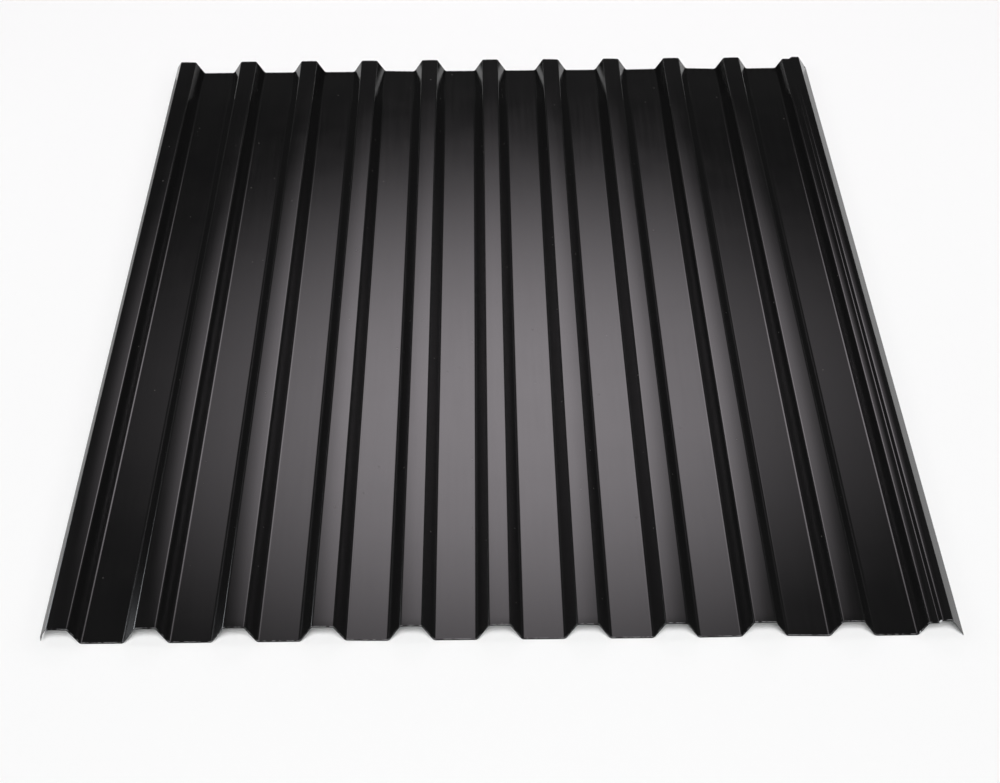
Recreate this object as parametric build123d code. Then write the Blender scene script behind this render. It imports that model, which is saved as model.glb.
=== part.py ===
from build123d import *
import os
from math import radians, tan

os.makedirs("parts", exist_ok=True)

# Coated steel stock, cut square at both ends.
sheet_length = 1500.0
sheet_thickness = 0.5

# Rolled section: narrow crests stand up, wide troughs lie on the purlins.
crest_count = 11
crest_width = 24.0          # flat top of a crest, between its bend lines
trough_width = 49.0         # flat floor of a trough, between its bend lines
web_run = 13.5              # level run of the sloping web between the two
profile_height = 21.0       # underside of the troughs to the top of the crests
crest_bend_radius = 2.5     # inside radius of the bends beside a crest and its step
trough_bend_radius = 4.5    # inside radius of the rounder bends beside a trough

# Overlapping edge, on the left: a wider crest with a short, round-shouldered flange.
lap_widening = 1.2          # added to the outer side, so that it goes over its neighbour
lap_flange_angle = 72.0     # from level
lap_drop_share = 0.73       # of the web height
lap_shoulder_share = 0.40   # of the drop, inside radius of the shoulder

# Overlapped edge, on the right: the crest has a step that breaks the water film.
step_rise_share = 0.16      # of the web height, low shelf to the crest top
shelf_share = 0.42          # of this crest's width, the low shelf
step_run_share = 0.15       # of this crest's width, the slope of the step

# Sizes that follow.
pitch = crest_width + trough_width + 2 * web_run
half_crest = crest_width / 2
web_height = profile_height - sheet_thickness
crest_outside = crest_bend_radius + sheet_thickness
trough_outside = trough_bend_radius + sheet_thickness
first_crest = -pitch * (crest_count - 1) / 2
last_crest = first_crest + pitch * (crest_count - 1)

# The underside of the sheet from the left edge to the right edge, corner by
# corner. A crest bends round its underside, a trough round its top side.
corners = []
radii = []

# Overlapping flange and the crest it hangs from.
lap_drop = web_height * lap_drop_share
lap_corner = first_crest - half_crest - lap_widening
lap_tip = lap_corner - lap_drop / tan(radians(lap_flange_angle))
corners.append((lap_tip, web_height - lap_drop))
corners.append((lap_corner, web_height))
radii.append(lap_drop * lap_shoulder_share)

# Down into each trough and up to the next crest.
for index in range(crest_count - 1):
    crest_edge = first_crest + index * pitch + half_crest
    corners.append((crest_edge, web_height))
    radii.append(crest_bend_radius)
    trough_start = crest_edge + web_run
    corners.append((trough_start, 0))
    radii.append(trough_outside)
    trough_end = trough_start + trough_width
    corners.append((trough_end, 0))
    radii.append(trough_outside)
    if index < crest_count - 2:
        corners.append((trough_end + web_run, web_height))
        radii.append(crest_bend_radius)

# Stepped crest: the last web stops at the low shelf.
step_rise = web_height * step_rise_share
shelf_level = web_height - step_rise
shelf_start = last_crest - half_crest - web_run * step_rise_share
crest_end = last_crest + half_crest
stepped_width = crest_end - shelf_start
shelf_end = shelf_start + stepped_width * shelf_share
step_top = shelf_end + stepped_width * step_run_share
corners.append((shelf_start, shelf_level))
radii.append(crest_bend_radius)
corners.append((shelf_end, shelf_level))
radii.append(crest_outside)
corners.append((step_top, web_height))
radii.append(crest_bend_radius)

# Overlapped flange, a full web down to the level of the troughs.
corners.append((crest_end, web_height))
radii.append(crest_bend_radius)
corners.append((crest_end + web_run, 0))

# One even thickness over that line, drawn out to the length of the sheet.
underside = FilletPolyline(corners, radius=radii)
outline = underside.wire().offset_2d(sheet_thickness, kind=Kind.ARC, side=Side.LEFT)
section = Plane.XZ * make_face(outline.edges())
sheet = extrude(section, amount=sheet_length / 2, both=True)

# The origin is on the floor, under the middle of the sheet.
sheet = Pos(-sheet.bounding_box().center().X, 0, 0) * sheet

export_step(sheet, "parts/roofing_sheet.step")
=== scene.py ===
import math

import bpy
from mathutils import Matrix, Vector, noise


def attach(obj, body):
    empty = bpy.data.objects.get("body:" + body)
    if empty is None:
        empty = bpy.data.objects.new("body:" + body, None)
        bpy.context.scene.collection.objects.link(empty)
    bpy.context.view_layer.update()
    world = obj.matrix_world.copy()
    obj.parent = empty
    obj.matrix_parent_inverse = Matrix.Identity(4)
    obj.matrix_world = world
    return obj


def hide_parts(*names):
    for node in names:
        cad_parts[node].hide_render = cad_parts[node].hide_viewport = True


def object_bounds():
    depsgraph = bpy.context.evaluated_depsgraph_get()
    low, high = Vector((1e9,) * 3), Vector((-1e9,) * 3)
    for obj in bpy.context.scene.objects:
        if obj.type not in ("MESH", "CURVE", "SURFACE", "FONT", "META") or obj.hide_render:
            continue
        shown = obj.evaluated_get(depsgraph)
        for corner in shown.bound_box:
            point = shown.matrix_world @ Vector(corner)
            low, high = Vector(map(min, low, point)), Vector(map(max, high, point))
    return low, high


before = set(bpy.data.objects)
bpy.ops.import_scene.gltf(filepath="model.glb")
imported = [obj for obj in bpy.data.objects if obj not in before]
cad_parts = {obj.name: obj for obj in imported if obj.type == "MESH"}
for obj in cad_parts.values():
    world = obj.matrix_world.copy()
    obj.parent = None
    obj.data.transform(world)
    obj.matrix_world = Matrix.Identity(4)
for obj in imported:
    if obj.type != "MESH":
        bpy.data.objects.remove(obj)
cad_low, cad_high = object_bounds()

NODE = "roofing_sheet"
MM = 0.001
UP = Vector((0, 0, 1))

# The photograph's camera, fitted to the corners of the near and far ends.
PHOTO_WIDTH = 1000
FOCAL_PIXELS = 2363.2
SENSOR_WIDTH = 36.0
CAMERA_ELEVATION = math.radians(32.9)
CAMERA_YAW = math.radians(-0.44)
CAMERA_ROLL = math.radians(-0.32)
CAMERA_DISTANCE = 3.109
CAMERA_AIM = Vector((0.0022, cad_low.y + 0.5172, 0.0))

# How the CAD outline is read.
PLACE_DIGITS = 6               # places that agree to this many digits are one place
END_WITHIN = 0.01 * MM         # a point this near the end lies on the end face
STRAIGHT_LEAST = 2.0 * MM      # a CAD edge longer than this is a flat, a web or a flange
SHARP_TURN = math.radians(60)  # the outline turns by more than this only at a cut edge
STEEP = math.radians(45)       # a straight steeper than this is a web or a flange
LEVEL_WITHIN = 0.1 * MM        # a straight that rises by less than this is a crest or a trough

# How finely the section is drawn again over that outline.
FLAT_STEP = 6.0 * MM           # spacing of the lines along a flat
FLAT_MARGIN = 0.4 * MM         # a line this near each bend keeps the flat's shading flat
WEB_STEPS = 2
BEND_STEP = 0.6 * MM           # spacing of the lines round a bend
STATION_STEP = 30.0 * MM       # spacing of the stations along the length, away from the ends
# Stations near each end, by their distance from it.
END_STATIONS = [d * MM for d in (0.0, 0.2, 0.45, 0.7, 1.5, 2.7, 4.5, 7.0, 10.0, 14.0, 19.0)]
SHADE_SHARP = math.radians(40)  # a sharper edge is shaded as an edge

# The lap flange of the left edge, drawn as the photograph shows it and inside the CAD box:
# it leaves the crest at a slope, and hangs plumb below a knee.
LAP_RUN = 6.7 * MM             # level, from the plumb part to the corner of the crest
LAP_DROP = 9.6 * MM            # from the crest's top to the knee
LAP_BEND = 2.5 * MM            # inside radius of both bends
LAP_LINES = 2                  # straights of the flange

# What rolling and cutting leave in the sheet, all inside the CAD box.
CREST_CROWN = 0.20 * MM        # the crest tops are slightly arched
TROUGH_SAG = 0.08 * MM         # the trough floors are slightly dished
# How far single crests and troughs lean to the right, in degrees. Both are counted from the
# left edge, where the first crest and the first trough have the number 0.
CREST_LEAN = {0: 1.6, 3: 0.8, 6: 2.0, 7: 1.6, 9: -0.8}
TROUGH_LEAN = {3: 1.4, 7: -0.8, 8: 1.6, 9: -0.5}
WAVE_HEIGHT = 0.05 * MM        # faint waves along the flats
WAVE_LENGTH = 0.22
WAVE_WIDTH = 0.1
WAVE_SEED = 3.7
END_DROOP = 0.10 * MM          # the shear pulls the crests down at both ends
END_REACH = 15.0 * MM
ROLLOVER_DEPTH = 0.25 * MM     # the shear rounds the top edge over at the near end
ROLLOVER_REACH = 0.7 * MM

# The numbers of the skin's four materials.
FLAT_COAT, WEB_COAT, BACK_COAT, CUT_EDGE = range(4)


def outline_points(node):
    """The section's outline at the near end of the CAD node, in order, as (x, z)."""
    mesh = node.data
    near = min(v.co.y for v in mesh.vertices)
    places = [(round(v.co.x, PLACE_DIGITS), round(v.co.z, PLACE_DIGITS)) for v in mesh.vertices]
    at_end = [abs(v.co.y - near) < END_WITHIN for v in mesh.vertices]
    uses = {}
    for face in mesh.polygons:
        corners = list(face.vertices)
        if not all(at_end[i] for i in corners):
            continue
        for a, b in zip(corners, corners[1:] + corners[:1]):
            key = frozenset((places[a], places[b]))
            if len(key) == 2:
                uses[key] = uses.get(key, 0) + 1
    beside = {}
    for key, count in uses.items():
        if count == 1:
            a, b = tuple(key)
            beside.setdefault(a, []).append(b)
            beside.setdefault(b, []).append(a)
    start = min(beside)
    loop = [start]
    previous, here = None, start
    while True:
        onward = [p for p in beside[here] if p != previous]
        previous, here = here, onward[0]
        if here == start:
            return [Vector(p) for p in loop]
        loop.append(here)


def turn(a, b):
    """The signed angle from direction a to direction b."""
    return math.atan2(a.x * b.y - a.y * b.x, a.dot(b))


def two_sides(loop):
    """The outline's underside and top side, each from the left edge to the right edge."""
    count = len(loop)
    sharp = []
    for i in range(count):
        before = loop[i] - loop[i - 1]
        after = loop[(i + 1) % count] - loop[i]
        if abs(turn(before, after)) > SHARP_TURN:
            sharp.append(i)
    if len(sharp) != 4:
        raise ValueError(f"the section has {len(sharp)} cut corners, not 4")
    runs = []
    for a, b in zip(sharp, sharp[1:] + [sharp[0] + count]):
        run = [loop[i % count] for i in range(a, b + 1)]
        if len(run) > 2:
            runs.append(run if run[0].x < run[-1].x else run[::-1])
    runs.sort(key=lambda run: sum(p.y for p in run) / len(run))
    return runs


def straights(run):
    """The flats, webs and flanges of one side as pairs of points."""
    return [(a, b) for a, b in zip(run, run[1:]) if (b - a).length > STRAIGHT_LEAST]


def steep(line):
    a, b = line
    return abs(math.atan2(b.y - a.y, b.x - a.x)) > STEEP


def arc(start, way_in, end, way_out, segments):
    """Points strictly between two tangent points, on the bend that joins them."""
    angle = turn(way_in, way_out)
    radius = (end - start).length / (2 * math.sin(abs(angle) / 2))
    side = math.copysign(1.0, angle)
    normal = Vector((-way_in.y, way_in.x)).normalized() * side
    centre = start + normal * radius
    spoke = start - centre
    points = []
    for k in range(1, segments):
        t = angle * k / segments
        c, s = math.cos(t), math.sin(t)
        points.append(centre + Vector((c * spoke.x - s * spoke.y, s * spoke.x + c * spoke.y)))
    return points


def lap_edge(lines, inset, radius):
    """One side's straights with the lap flange drawn again, inset from its outer face."""
    tip, flat_end = lines[0][0], lines[1][1]
    plumb, level = Vector((0, 1)), Vector((1, 0))
    slope = Vector((LAP_RUN, LAP_DROP)).normalized()
    inward = [Vector((way.y, -way.x)) for way in (plumb, slope, level)]
    knee = Vector((cad_low.x, cad_high.z - LAP_DROP))
    knee += inset * (inward[0] + inward[1]) / (1 + inward[0].dot(inward[1]))
    corner = Vector((cad_low.x + LAP_RUN, cad_high.z))
    corner += inset * (inward[1] + inward[2]) / (1 + inward[1].dot(inward[2]))
    at_knee = radius * math.tan(plumb.angle(slope) / 2)
    at_corner = radius * math.tan(slope.angle(level) / 2)
    flange = [(Vector((knee.x, tip.y)), knee - at_knee * plumb),
              (knee + at_knee * slope, corner - at_corner * slope)]
    return flange + [(corner + at_corner * level, flat_end)] + lines[2:]


def fine_side(lines, like, webs):
    """One side drawn finely, with as many points on each stretch as the side it is like.

    Returns the points, and for each step between two points whether it is on a web.
    """
    points, on_web = [], []
    for i, (a, b) in enumerate(lines):
        like_a, like_b = like[i]
        is_web = webs[i]
        steps = math.ceil(((like_b - like_a).length - 2 * FLAT_MARGIN) / FLAT_STEP)
        steps = WEB_STEPS if is_web else steps
        along = (b - a).normalized()
        inner_a = a + along * FLAT_MARGIN
        inner_b = b - along * FLAT_MARGIN
        points.append(a)
        points.extend(inner_a.lerp(inner_b, k / steps) for k in range(steps + 1))
        points.append(b)
        on_web.extend([is_web] * (steps + 2))
        if i + 1 < len(lines):
            c, d = lines[i + 1]
            angle = abs(turn(b - a, d - c))
            radius = (like[i + 1][0] - like_b).length / (2 * math.sin(angle / 2))
            segments = math.ceil(angle * radius / BEND_STEP)
            points.extend(arc(b, b - a, c, d - c, segments))
            on_web.extend([False] * segments)
    return points, on_web


def smooth(t):
    t = min(max(t, 0.0), 1.0)
    return t * t * (3 - 2 * t)


class Relief:
    """How far the real sheet lies above or below the exact section, by place."""

    def __init__(self, top_lines):
        self.high = max(p.y for line in top_lines for p in line)
        self.low = min(p.y for line in top_lines for p in line)
        middle = (self.high + self.low) / 2
        level = [(a, b) for a, b in top_lines if abs(b.y - a.y) < LEVEL_WITHIN]
        crests = [(a.x, b.x) for a, b in level if a.y > middle]
        troughs = [(a.x, b.x) for a, b in level if a.y < middle]
        # Each flat has its two sides, its arch or dish, and what its lean adds at the two sides.
        self.flats = []
        for i, (a, b) in enumerate(crests):
            fall = math.tan(math.radians(CREST_LEAN.get(i, 0.0))) * (b - a)
            self.flats.append((a, b, -CREST_CROWN, min(fall, 0.0), min(-fall, 0.0)))
        for i, (a, b) in enumerate(troughs):
            fall = math.tan(math.radians(TROUGH_LEAN.get(i, 0.0))) * (b - a)
            self.flats.append((a, b, TROUGH_SAG, max(fall, 0.0), max(-fall, 0.0)))
        self.flats.sort()

    def across(self, x):
        """The arch of a crest or dish of a trough, with its lean, and an even change between."""
        before = None
        for a, b, bow, at_a, at_b in self.flats:
            if x < a:
                if before is None:
                    return bow + at_a
                b0, end0 = before
                share = (x - b0) / (a - b0)
                return end0 + (bow + at_a - end0) * share
            if x <= b:
                share = (x - a) / (b - a)
                return bow * (2 * share - 1) ** 2 + at_a + (at_b - at_a) * share
            before = (b, bow + at_b)
        return before[1]

    def at(self, x, z, y):
        rise = min(max((z - self.low) / (self.high - self.low), 0.0), 1.0)
        field = noise.noise(Vector((x / WAVE_WIDTH, y / WAVE_LENGTH, WAVE_SEED)))
        wave = WAVE_HEIGHT * (0.5 + 0.5 * field)
        wave *= 1 - 2 * rise
        from_end = min(y - cad_low.y, cad_high.y - y)
        droop = END_DROOP * max(0.0, 1 - from_end / END_REACH) ** 2 * smooth(rise)
        return self.across(x) + wave - droop


def rollover(y):
    """How far the shear has rounded the top side down, which it does near the near end."""
    return ROLLOVER_DEPTH * max(0.0, 1 - (y - cad_low.y) / ROLLOVER_REACH) ** 2


def stations():
    """Places along the length, closer together where the ends droop."""
    length = cad_high.y - cad_low.y
    first = END_STATIONS[-1]
    inner = length - 2 * first
    steps = math.ceil(inner / STATION_STEP)
    middle = [first + inner * k / steps for k in range(1, steps)]
    along = END_STATIONS + middle + [length - d for d in reversed(END_STATIONS)]
    return [cad_low.y + d for d in along]


def section_sides(node):
    """The top side, the steps of it that are on a web, the underside, and the sheet's relief."""
    bottom_run, top_run = two_sides(outline_points(node))
    bottom_lines, top_lines = straights(bottom_run), straights(top_run)
    webs = [False] * LAP_LINES + [steep(line) for line in top_lines[1:]]
    thickness = top_lines[1][0].y - bottom_lines[1][0].y
    bottom_lines = lap_edge(bottom_lines, thickness, LAP_BEND)
    top_lines = lap_edge(top_lines, 0.0, LAP_BEND + thickness)
    top, on_web = fine_side(top_lines, bottom_lines, webs)
    bottom, _ = fine_side(bottom_lines, bottom_lines, webs)
    return top, on_web, bottom, Relief(top_lines)


def skin_vertices(top, bottom, relief, rows):
    """At each station the points of the top side and then of the underside, in the CAD box."""
    vertices = []
    for y in rows:
        lifts = [relief.at(p.x, p.y, y) for p in top]
        for side, fall in ((top, rollover(y)), (bottom, 0.0)):
            for p, lift in zip(side, lifts):
                x = min(max(p.x, cad_low.x), cad_high.x)
                vertices.append((x, y, max(p.y + lift - fall, cad_low.z)))
    return vertices


def skin_faces(on_web, row_count):
    """The faces of the closed skin, and the number of the material on each."""
    last = len(on_web)
    end = row_count - 1
    faces, kinds = [], []

    def top(row, i):
        return row * 2 * (last + 1) + i

    def under(row, i):
        return top(row, i) + last + 1

    def add(kind, *corners):
        faces.append(corners)
        kinds.append(kind)

    for r in range(end):
        for i in range(last):
            coat = WEB_COAT if on_web[i] else FLAT_COAT
            add(coat, top(r, i), top(r, i + 1), top(r + 1, i + 1), top(r + 1, i))
            add(BACK_COAT, under(r, i), under(r + 1, i), under(r + 1, i + 1), under(r, i + 1))
        add(CUT_EDGE, top(r, 0), top(r + 1, 0), under(r + 1, 0), under(r, 0))
        add(CUT_EDGE, under(r, last), under(r + 1, last), top(r + 1, last), top(r, last))
    for i in range(last):
        add(CUT_EDGE, top(0, i), under(0, i), under(0, i + 1), top(0, i + 1))
    for i in range(last):
        add(CUT_EDGE, top(end, i + 1), under(end, i + 1), under(end, i), top(end, i))
    return faces, kinds


def make_sheet(node, materials):
    """The sheet drawn again over the CAD section, with round bends and its flats as rolled."""
    top, on_web, bottom, relief = section_sides(node)
    rows = stations()
    faces, kinds = skin_faces(on_web, len(rows))
    mesh = bpy.data.meshes.new("sheet_skin")
    mesh.from_pydata(skin_vertices(top, bottom, relief, rows), [], faces)
    for material in materials:
        mesh.materials.append(material)
    mesh.polygons.foreach_set("material_index", kinds)
    mesh.shade_smooth()
    mesh.set_sharp_from_angle(angle=SHADE_SHARP)
    mesh.update()
    piece = bpy.data.objects.new("sheet_skin", mesh)
    bpy.context.collection.objects.link(piece)
    return piece


# The coats. The rolls slide along the webs, which leaves them duller than the flats.
COAT_COLOUR = (0.0064, 0.0064, 0.0067, 1)
COAT_WORN = (0.0078, 0.0077, 0.0076, 1)
COAT_ROUGHNESS = 0.12
ROUGHNESS_SWING = 0.014
FLAT_SPECULAR = 0.5
WEB_SPECULAR = 0.12
NOISE_RANGE = (0.3, 0.7)       # most of a noise field lies between these
MOTTLE_SCALE = 14
STREAK_SCALE = 180
STREAK_STRETCH = (1, 0.03, 1)  # the streaks are long along the sheet
PEEL_SCALE = 700               # the coat's fine orange peel, about 1.4 mm from bump to bump
FLAT_PEEL_DEPTH = 0.010 * MM
WEB_PEEL_DEPTH = 0.004 * MM

# Dust, one speck at most in each cell of a field.
DUST_COLOUR = (0.09, 0.085, 0.08, 1)
DUST_ROUGHNESS = 0.7
DUST_SCALE = 60                # cells to the metre
DUST_CHOICE = (0.80, 0.82)     # cells with a random value above these have a speck
DUST_RADII = (0.070, 0.035)    # where a speck ends and where it is full, as shares of a cell

# Bare spots, where the zinc shows. The two nicks are partly bare zinc and partly a painted glint:
# their pale grey stands in for the white glints at those corners.
# pale zinc for the chips, also painted on the two nicks as their glints
BARE_AND_GLINT_COLOUR = (0.62, 0.63, 0.64, 1)
BARE_AND_GLINT_ROUGHNESS = 0.5
CHIP_LINE = 1.5 * MM           # how far from the cut ends the line of chips lies
CHIP_WIDTH = 1.0 * MM          # to each side of it
CHIP_SHARE = 0.34              # how much of the bare colour shows in a chip
CHIP_SCALE = 240
CHIP_CHOICE = (0.44, 0.56)     # the line is broken where a noise field is below these
GLINT_NICK_INSET = 1.2 * MM          # how far from the near end the two nicks, with their painted glint, lie
GLINT_NICK_CORE = 0.7                # share of a nick's radius that is fully bare and painted glint-pale
GLINT_NICKS = (                      # bare nicks painted pale as glints: from the right edge, above the floor, and the nick's radius
    (48.93 * MM, 4.0 * MM, 1.7 * MM),
    (27.63 * MM, 19.0 * MM, 2.3 * MM),
)

# The backing coat of the underside.
BACK_DARK = (0.27, 0.28, 0.28, 1)
BACK_PALE = (0.33, 0.34, 0.34, 1)
BACK_TONES = (0.1, 0.4)        # of the joined mottle and streaks, from dark to pale
BACK_ROUGHNESS = (0.40, 0.50)
BACK_MOTTLE_SCALE = 22
BACK_STREAK_SCALE = 120
BACK_STRETCH = (1, 0.02, 1)
BACK_PEEL_DEPTH = 0.020 * MM

# The sheared edge.
EDGE_DARK = (0.012, 0.012, 0.012, 1)
EDGE_PALE = (0.10, 0.10, 0.10, 1)
EDGE_TONES = (0.4, 0.7)        # of the noise field, from dark to pale
EDGE_ROUGHNESS = (0.40, 0.60)
EDGE_SCALE = 300


def new_material(name):
    material = bpy.data.materials.new(name)
    material.use_nodes = True
    tree = material.node_tree
    return material, tree, tree.nodes["Principled BSDF"]


def object_place(tree):
    return tree.nodes.new("ShaderNodeTexCoord").outputs["Object"]


def noise_field(tree, place, scale, stretch=(1, 1, 1), detail=2.0):
    spread = tree.nodes.new("ShaderNodeMapping")
    spread.inputs["Scale"].default_value = stretch
    field = tree.nodes.new("ShaderNodeTexNoise")
    field.inputs["Scale"].default_value = scale
    field.inputs["Detail"].default_value = detail
    tree.links.new(place, spread.inputs["Vector"])
    tree.links.new(spread.outputs["Vector"], field.inputs["Vector"])
    return field.outputs["Fac"]


def ranged(tree, value, from_low, from_high, to_low=0.0, to_high=1.0):
    node = tree.nodes.new("ShaderNodeMapRange")
    node.inputs["From Min"].default_value = from_low
    node.inputs["From Max"].default_value = from_high
    node.inputs["To Min"].default_value = to_low
    node.inputs["To Max"].default_value = to_high
    tree.links.new(value, node.inputs["Value"])
    return node.outputs["Result"]


def joined(tree, operation, first, second):
    node = tree.nodes.new("ShaderNodeMath")
    node.operation = operation
    tree.links.new(first, node.inputs[0])
    tree.links.new(second, node.inputs[1])
    return node.outputs["Value"]


def put(tree, value, socket):
    """Links a pattern to a socket, or sets a constant on it."""
    if isinstance(value, bpy.types.NodeSocket):
        tree.links.new(value, socket)
    else:
        socket.default_value = value


def mixed_colour(tree, mask, first, second):
    """A change from one colour to another, through the colour sockets of a mix node."""
    node = tree.nodes.new("ShaderNodeMix")
    node.data_type = "RGBA"
    put(tree, mask, node.inputs[0])
    put(tree, first, node.inputs[6])
    put(tree, second, node.inputs[7])
    return node.outputs[2]


def mixed_value(tree, mask, first, second):
    """A change from one value to another, through the value sockets of a mix node."""
    node = tree.nodes.new("ShaderNodeMix")
    put(tree, mask, node.inputs[0])
    put(tree, first, node.inputs[2])
    put(tree, second, node.inputs[3])
    return node.outputs[0]


def add_peel(tree, place, depth, shader):
    """Fine bumps of the coat's surface."""
    peel = tree.nodes.new("ShaderNodeBump")
    peel.inputs["Distance"].default_value = depth
    tree.links.new(noise_field(tree, place, PEEL_SCALE), peel.inputs["Height"])
    tree.links.new(peel.outputs["Normal"], shader.inputs["Normal"])


def dust_specks(tree, place):
    """A few specks of dust, a millimetre or two across."""
    cells = tree.nodes.new("ShaderNodeTexVoronoi")
    cells.inputs["Scale"].default_value = DUST_SCALE
    tree.links.new(place, cells.inputs["Vector"])
    shade = tree.nodes.new("ShaderNodeSeparateColor")
    tree.links.new(cells.outputs["Color"], shade.inputs["Color"])
    chosen = ranged(tree, shade.outputs["Red"], *DUST_CHOICE)
    return joined(tree, "MULTIPLY", chosen, ranged(tree, cells.outputs["Distance"], *DUST_RADII))


def chip_line(tree, place):
    """A broken line of chips along the cut ends."""
    split = tree.nodes.new("ShaderNodeSeparateXYZ")
    tree.links.new(place, split.inputs["Vector"])
    apart = tree.nodes.new("ShaderNodeMath")
    apart.operation = "ABSOLUTE"
    tree.links.new(split.outputs["Y"], apart.inputs[0])
    line = cad_high.y - CHIP_LINE
    inner = ranged(tree, apart.outputs["Value"], line - CHIP_WIDTH, line)
    outer = ranged(tree, apart.outputs["Value"], line + CHIP_WIDTH, line)
    field = noise_field(tree, place, CHIP_SCALE, detail=3.0)
    broken = ranged(tree, field, *CHIP_CHOICE, 0.0, CHIP_SHARE)
    return joined(tree, "MULTIPLY", joined(tree, "MULTIPLY", inner, outer), broken)


def bare_and_glint_places(tree, place):
    """Where the zinc shows: the line of chips, and the nicks, which are also painted pale as
    glints.
    """
    bare_and_glint = chip_line(tree, place)
    # each nick is bare zinc and a painted glint: its pale spot stands in for the glint there
    for from_right, height, radius in GLINT_NICKS:
        away = tree.nodes.new("ShaderNodeVectorMath")
        away.operation = "DISTANCE"
        glint_nick = (cad_high.x - from_right, cad_low.y + GLINT_NICK_INSET, cad_low.z + height)
        away.inputs[1].default_value = glint_nick
        tree.links.new(place, away.inputs[0])
        spot = ranged(tree, away.outputs["Value"], radius, GLINT_NICK_CORE * radius)
        bare_and_glint = joined(tree, "MAXIMUM", bare_and_glint, spot)
    return bare_and_glint


def coil_coat(name, specular, peel_depth):
    """Black polyester coat: faint mottle and roll streaks, fine peel, dust, bare spots, and two
    nicks painted pale as glints.
    """
    material, tree, shader = new_material(name)
    shader.inputs["Specular IOR Level"].default_value = specular
    place = object_place(tree)
    mottle = noise_field(tree, place, MOTTLE_SCALE, detail=3.0)
    streaks = noise_field(tree, place, STREAK_SCALE, stretch=STREAK_STRETCH)
    least, most = COAT_ROUGHNESS - ROUGHNESS_SWING, COAT_ROUGHNESS + ROUGHNESS_SWING
    broad = ranged(tree, mottle, *NOISE_RANGE, least, most)
    fine = ranged(tree, streaks, *NOISE_RANGE, -ROUGHNESS_SWING, ROUGHNESS_SWING)
    dust = dust_specks(tree, place)
    bare_and_glint = bare_and_glint_places(tree, place)
    worn = mixed_colour(tree, mottle, COAT_COLOUR, COAT_WORN)
    dusty = mixed_colour(tree, dust, worn, DUST_COLOUR)
    # bare zinc on the chips, and painted glints on the two nicks
    colour = mixed_colour(tree, bare_and_glint, dusty, BARE_AND_GLINT_COLOUR)
    tree.links.new(colour, shader.inputs["Base Color"])
    dulled = mixed_value(tree, dust, joined(tree, "ADD", broad, fine), DUST_ROUGHNESS)
    roughness = mixed_value(tree, bare_and_glint, dulled, BARE_AND_GLINT_ROUGHNESS)
    tree.links.new(roughness, shader.inputs["Roughness"])
    add_peel(tree, place, peel_depth, shader)
    return material


def back_coat():
    """Thin grey backing coat, a little uneven along the rolling direction."""
    material, tree, shader = new_material("grey_back_coat")
    place = object_place(tree)
    mottle = noise_field(tree, place, BACK_MOTTLE_SCALE, detail=4.0)
    streaks = noise_field(tree, place, BACK_STREAK_SCALE, stretch=BACK_STRETCH, detail=3.0)
    tone = ranged(tree, joined(tree, "MULTIPLY", mottle, streaks), *BACK_TONES)
    colour = mixed_colour(tree, tone, BACK_DARK, BACK_PALE)
    tree.links.new(colour, shader.inputs["Base Color"])
    roughness = ranged(tree, streaks, *NOISE_RANGE, *BACK_ROUGHNESS)
    tree.links.new(roughness, shader.inputs["Roughness"])
    add_peel(tree, place, BACK_PEEL_DEPTH, shader)
    return material


def cut_edge():
    """The sheared steel, drawn nearly black, with a paler noise in it."""
    material, tree, shader = new_material("cut_steel_edge")
    edge_field = noise_field(tree, object_place(tree), EDGE_SCALE, detail=4.0)
    colour = mixed_colour(tree, ranged(tree, edge_field, *EDGE_TONES), EDGE_DARK, EDGE_PALE)
    tree.links.new(colour, shader.inputs["Base Color"])
    roughness = ranged(tree, edge_field, *NOISE_RANGE, *EDGE_ROUGHNESS)
    tree.links.new(roughness, shader.inputs["Roughness"])
    return material


# The floor, and the sky over it.
FLOOR_SIZE = 80.0
FLOOR_DROP = 0.5 * MM
FLOOR_GREY = 0.92
HORIZON_GREY = 0.69
HORIZON_TO = math.radians(0.5)  # the sky is pale up to here
SKY_GREY = 0.03
SKY_FROM = math.radians(2.5)   # and dark from here up

# One broad key light, from over the near end.
KEY_DIRECTION = Vector((0.0, -0.64, 0.64))
KEY_STRENGTH = 3.30
KEY_SPREAD = math.radians(30)

# Four soft lamps round the sheet. The far one's mirror image lies on the glint as the camera
# sees it, and the others are the same lamp turned round the sheet.
LAMP_GLINT = Vector((0.030, cad_low.y + 0.363, 0.0))
LAMP_SHIFT = (-0.041, -0.038)  # right and up, of the lamp from the glint's mirror direction
LAMP_DISTANCE = 3.0
LAMP_SIZE = (1.056, 0.867)     # half its width and half its height
LAMP_CORE = 0.10               # share of a lamp's radius that is evenly bright
LAMP_RADIANCE = 2.85
FAR_COLOUR = (1.0, 0.93, 0.985, 1)
SIDE_COLOUR = (1.0, 1.0, 1.0, 1)

# Two lights on the left, placed from the sheet's near left corner. The turn is from the sheet's
# length, and the rise is round that length, from level on the left.
LEFT_COLOUR = (0.92, 0.95, 1.0, 1)
WINDOW_TURN = math.radians(40.1)
WINDOW_RISE = math.radians(40.1)
WINDOW_DISTANCE = 1.93
WINDOW_SIZE = (0.21, 0.21)     # half its width and half its height
WINDOW_RADIANCE = 4.6
DOOR_TURN = math.radians(40.2)
DOOR_RISE = math.radians(10.3)
DOOR_DISTANCE = 6.0
DOOR_SIZE = (0.63, 1.05)
DOOR_RADIANCE = 7.6

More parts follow.
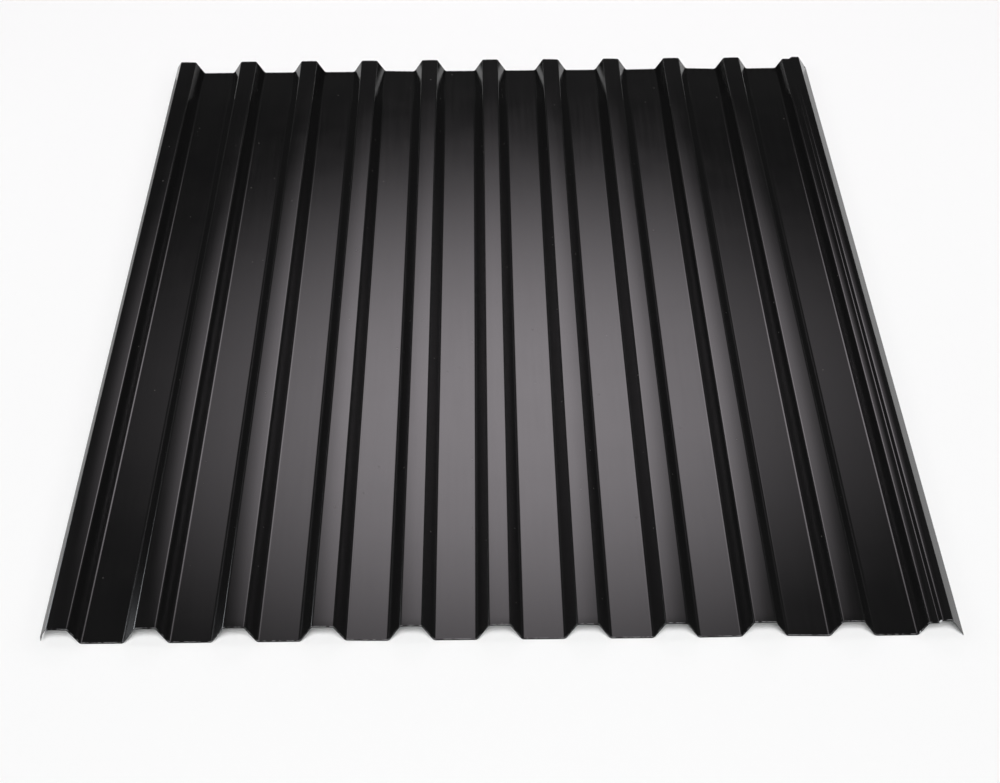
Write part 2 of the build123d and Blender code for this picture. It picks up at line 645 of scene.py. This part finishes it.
# Cards on the floor and black slats, which only reflections see.
CARD_DEPTH = 0.35              # of the card behind the far end
CARD_GREY = 0.64
CARD_GREY_TO = 60.0 * MM       # that card is grey to this distance from the sheet
CARD_BLACK_FROM = 80.0 * MM    # and black from this one on
LIP_HEIGHT = 3.5 * MM          # of the black lip between the far end and that card
SLAT_PITCH = 12.0 * MM
SLAT_DEPTH = 22.0 * MM
SLAT_HEIGHT = 10.0 * MM
SLAT_LEAN = 0.39               # outward, for each unit away from the sheet
SLAT_FREE = 0.19               # no slats this near the middle
SIDE_CARD_WIDTH = 0.20         # of the cards beside the sheet
LEFT_CARD_GREYS = (0.68, 0.36)  # at the near end and at the far end
RIGHT_CARD_GREY = 0.58


def grey(level):
    return (level, level, level, 1)


def stage_sheet(name, corners, material):
    """A floor, card or lamp that belongs to the room, of four corners or of several fours."""
    faces = [tuple(range(k, k + 4)) for k in range(0, len(corners), 4)]
    mesh = bpy.data.meshes.new(name)
    mesh.from_pydata(corners, [], faces)
    mesh.materials.append(material)
    card = bpy.data.objects.new(name, mesh)
    bpy.context.collection.objects.link(card)
    return card


def level_corners(x0, y0, x1, y1, z):
    return [(x0, y0, z), (x1, y0, z), (x1, y1, z), (x0, y1, z)]


def matt(name, level):
    """A matt grey."""
    material, _, shader = new_material(name)
    shader.inputs["Base Color"].default_value = grey(level)
    shader.inputs["Roughness"].default_value = 1.0
    shader.inputs["Specular IOR Level"].default_value = 0.0
    return material


def graded_matt(name, start, start_level, end, end_level):
    """A matt grey that changes between two places along the sheet."""
    material = matt(name, start_level)
    tree = material.node_tree
    split = tree.nodes.new("ShaderNodeSeparateXYZ")
    tree.links.new(object_place(tree), split.inputs["Vector"])
    mask = ranged(tree, split.outputs["Y"], start, end)
    colour = mixed_colour(tree, mask, grey(start_level), grey(end_level))
    tree.links.new(colour, tree.nodes["Principled BSDF"].inputs["Base Color"])
    return material


def make_floor():
    half = FLOOR_SIZE / 2
    corners = level_corners(-half, -half, half, half, cad_low.z - FLOOR_DROP)
    stage_sheet("floor", corners, matt("pale_floor", FLOOR_GREY))


def reflected_card(name, corners, material):
    """A card that only reflections see."""
    card = stage_sheet(name, corners, material)
    card.visible_camera = False
    card.visible_diffuse = False
    card.visible_shadow = False


def slat_corners(low):
    """Upright slats behind the far end, turned so that the webs see past them only outward."""
    start, end = cad_high.y, cad_high.y + SLAT_DEPTH
    high = cad_low.z + SLAT_HEIGHT
    corners = []
    for k in range(math.ceil((cad_high.x - SLAT_FREE) / SLAT_PITCH)):
        for side in (-1, 1):
            x0 = side * (SLAT_FREE + k * SLAT_PITCH)
            x1 = x0 + side * SLAT_LEAN * SLAT_DEPTH
            corners.extend([(x0, start, low), (x1, end, low), (x1, end, high), (x0, start, high)])
    return corners


def make_far_cards():
    """The card, lip and slats behind the far end keep most of the floor's white off the webs."""
    left, right = cad_low.x, cad_high.x
    start = cad_high.y
    grey_to, black_from = start + CARD_GREY_TO, start + CARD_BLACK_FROM
    level = cad_low.z - FLOOR_DROP / 2
    greys = graded_matt("far_greys", grey_to, CARD_GREY, black_from, 0.0)
    reflected_card("far_card", level_corners(left, start, right, start + CARD_DEPTH, level), greys)
    low, high = cad_low.z - FLOOR_DROP, cad_low.z + LIP_HEIGHT
    behind = start + FLOOR_DROP
    lip = [(left, behind, low), (right, behind, low), (right, behind, high), (left, behind, high)]
    black = matt("black_card", 0.0)
    reflected_card("far_lip", lip, black)
    reflected_card("far_slats", slat_corners(low), black)


def make_side_cards():
    """The cards beside the sheet keep the floor's white off its two edge flanges."""
    near, far = cad_low.y, cad_high.y
    level = cad_low.z - FLOOR_DROP / 2
    near_grey, far_grey = LEFT_CARD_GREYS
    left = level_corners(cad_low.x - SIDE_CARD_WIDTH, near, cad_low.x, far, level)
    reflected_card("left_card", left, graded_matt("left_greys", near, near_grey, far, far_grey))
    right = level_corners(cad_high.x, near, cad_high.x + SIDE_CARD_WIDTH, far, level)
    reflected_card("right_card", right, matt("right_grey", RIGHT_CARD_GREY))


def camera_axes():
    """The camera's right, up and backward directions, and its place."""
    level = math.cos(CAMERA_ELEVATION)
    sideways, nearward = math.sin(CAMERA_YAW) * level, math.cos(CAMERA_YAW) * level
    back = Vector((sideways, -nearward, math.sin(CAMERA_ELEVATION)))
    right = (-back).cross(UP).normalized()
    up = right.cross(-back)
    c, s = math.cos(CAMERA_ROLL), math.sin(CAMERA_ROLL)
    return c * right + s * up, c * up - s * right, back, CAMERA_AIM + CAMERA_DISTANCE * back


def make_camera():
    right, up, back, eye = camera_axes()
    data = bpy.data.cameras.new("camera")
    data.sensor_width = SENSOR_WIDTH
    data.lens = FOCAL_PIXELS / PHOTO_WIDTH * SENSOR_WIDTH
    camera = bpy.data.objects.new("camera", data)
    turned = Matrix((right, up, back)).transposed().to_4x4()
    camera.matrix_world = Matrix.Translation(eye) @ turned
    bpy.context.collection.objects.link(camera)
    bpy.context.scene.camera = camera


def soft_lamp(name, colour, radiance):
    """A round lamp, evenly bright in the middle and fading out to its edge."""
    material = bpy.data.materials.new(name)
    material.use_nodes = True
    tree = material.node_tree
    tree.nodes.clear()
    radius = tree.nodes.new("ShaderNodeVectorMath")
    radius.operation = "LENGTH"
    fade = tree.nodes.new("ShaderNodeMapRange")
    fade.interpolation_type = "SMOOTHSTEP"
    fade.inputs["From Min"].default_value = LAMP_CORE
    fade.inputs["From Max"].default_value = 1.0
    fade.inputs["To Min"].default_value = radiance
    fade.inputs["To Max"].default_value = 0.0
    glow = tree.nodes.new("ShaderNodeEmission")
    glow.inputs["Color"].default_value = colour
    out = tree.nodes.new("ShaderNodeOutputMaterial")
    tree.links.new(object_place(tree), radius.inputs[0])
    tree.links.new(radius.outputs["Value"], fade.inputs["Value"])
    tree.links.new(fade.outputs["Result"], glow.inputs["Strength"])
    tree.links.new(glow.outputs["Emission"], out.inputs["Surface"])
    return material


def place_lamp(name, place, toward, size, material, upright=UP):
    """A lamp card that faces a point."""
    lamp = stage_sheet(name, level_corners(-1, -1, 1, 1, 0), material)
    facing = (toward - place).normalized()
    across = upright.cross(facing).normalized()
    upward = facing.cross(across)
    axes = Matrix((across, upward, facing)).transposed().to_4x4()
    lamp.matrix_world = Matrix.Translation(place) @ axes @ Matrix.Diagonal((*size, 1, 1))
    lamp.visible_camera = False
    lamp.visible_shadow = False
    return lamp


def make_key():
    data = bpy.data.lights.new("key", "SUN")
    data.energy = KEY_STRENGTH
    data.angle = KEY_SPREAD
    key = bpy.data.objects.new("key", data)
    key.rotation_euler = KEY_DIRECTION.to_track_quat("Z", "Y").to_euler()
    bpy.context.collection.objects.link(key)


def make_lamps():
    eye = camera_axes()[3]
    ray = (LAMP_GLINT - eye).normalized()
    mirrored = Vector((ray.x, ray.y, -ray.z))
    across = mirrored.cross(UP).normalized()
    upward = across.cross(mirrored)
    shift = LAMP_SHIFT[0] * across + LAMP_SHIFT[1] * upward
    aim = LAMP_GLINT + shift
    place = aim + LAMP_DISTANCE * mirrored
    far_glow = soft_lamp("far_lamp", FAR_COLOUR, LAMP_RADIANCE)
    place_lamp("lamp_far", place, aim, LAMP_SIZE, far_glow)
    side_glow = soft_lamp("side_lamp", SIDE_COLOUR, LAMP_RADIANCE)
    for k, side in enumerate(("left", "near", "right")):
        turned = Matrix.Rotation(math.radians(90 * (k + 1)), 3, "Z")
        place_lamp(f"lamp_{side}", turned @ place, turned @ aim, LAMP_SIZE, side_glow)


def left_light(name, turned, rise, distance, size, glow):
    """A light on the left that only reflections see."""
    corner = Vector((cad_low.x, cad_low.y, cad_high.z))
    outward = Vector((-math.cos(rise), 0, math.sin(rise)))
    upright = Vector((math.sin(rise), 0, math.cos(rise)))
    way = math.sin(turned) * outward + math.cos(turned) * Vector((0, 1, 0))
    light = place_lamp(name, corner + distance * way, corner, size, glow, upright)
    light.visible_diffuse = False


def make_left_lights():
    """The window, and the door lower down and farther away."""
    glow = soft_lamp("window_light", LEFT_COLOUR, WINDOW_RADIANCE)
    left_light("window", WINDOW_TURN, WINDOW_RISE, WINDOW_DISTANCE, WINDOW_SIZE, glow)
    glow = soft_lamp("door_light", LEFT_COLOUR, DOOR_RADIANCE)
    left_light("door", DOOR_TURN, DOOR_RISE, DOOR_DISTANCE, DOOR_SIZE, glow)


def make_sky():
    """Dark above, so that the coat stays black, and pale at the horizon."""
    world = bpy.data.worlds.new("studio")
    bpy.context.scene.world = world
    world.use_nodes = True
    tree = world.node_tree
    place = tree.nodes.new("ShaderNodeTexCoord")
    split = tree.nodes.new("ShaderNodeSeparateXYZ")
    ramp = tree.nodes.new("ShaderNodeValToRGB")
    tree.links.new(place.outputs["Generated"], split.inputs["Vector"])
    tree.links.new(split.outputs["Z"], ramp.inputs["Fac"])
    tree.links.new(ramp.outputs["Color"], tree.nodes["Background"].inputs["Color"])
    low, high = ramp.color_ramp.elements
    low.position = math.sin(HORIZON_TO)
    low.color = grey(HORIZON_GREY)
    high.position = math.sin(SKY_FROM)
    high.color = grey(SKY_GREY)


bpy.context.scene.view_settings.view_transform = "Standard"
flat_coat = coil_coat("black_coat_flats", FLAT_SPECULAR, FLAT_PEEL_DEPTH)
web_coat = coil_coat("black_coat_webs", WEB_SPECULAR, WEB_PEEL_DEPTH)
sheet = make_sheet(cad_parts[NODE], (flat_coat, web_coat, back_coat(), cut_edge()))
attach(sheet, "root")
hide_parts(NODE)
make_floor()
make_far_cards()
make_side_cards()
make_camera()
make_key()
make_lamps()
make_left_lights()
make_sky()
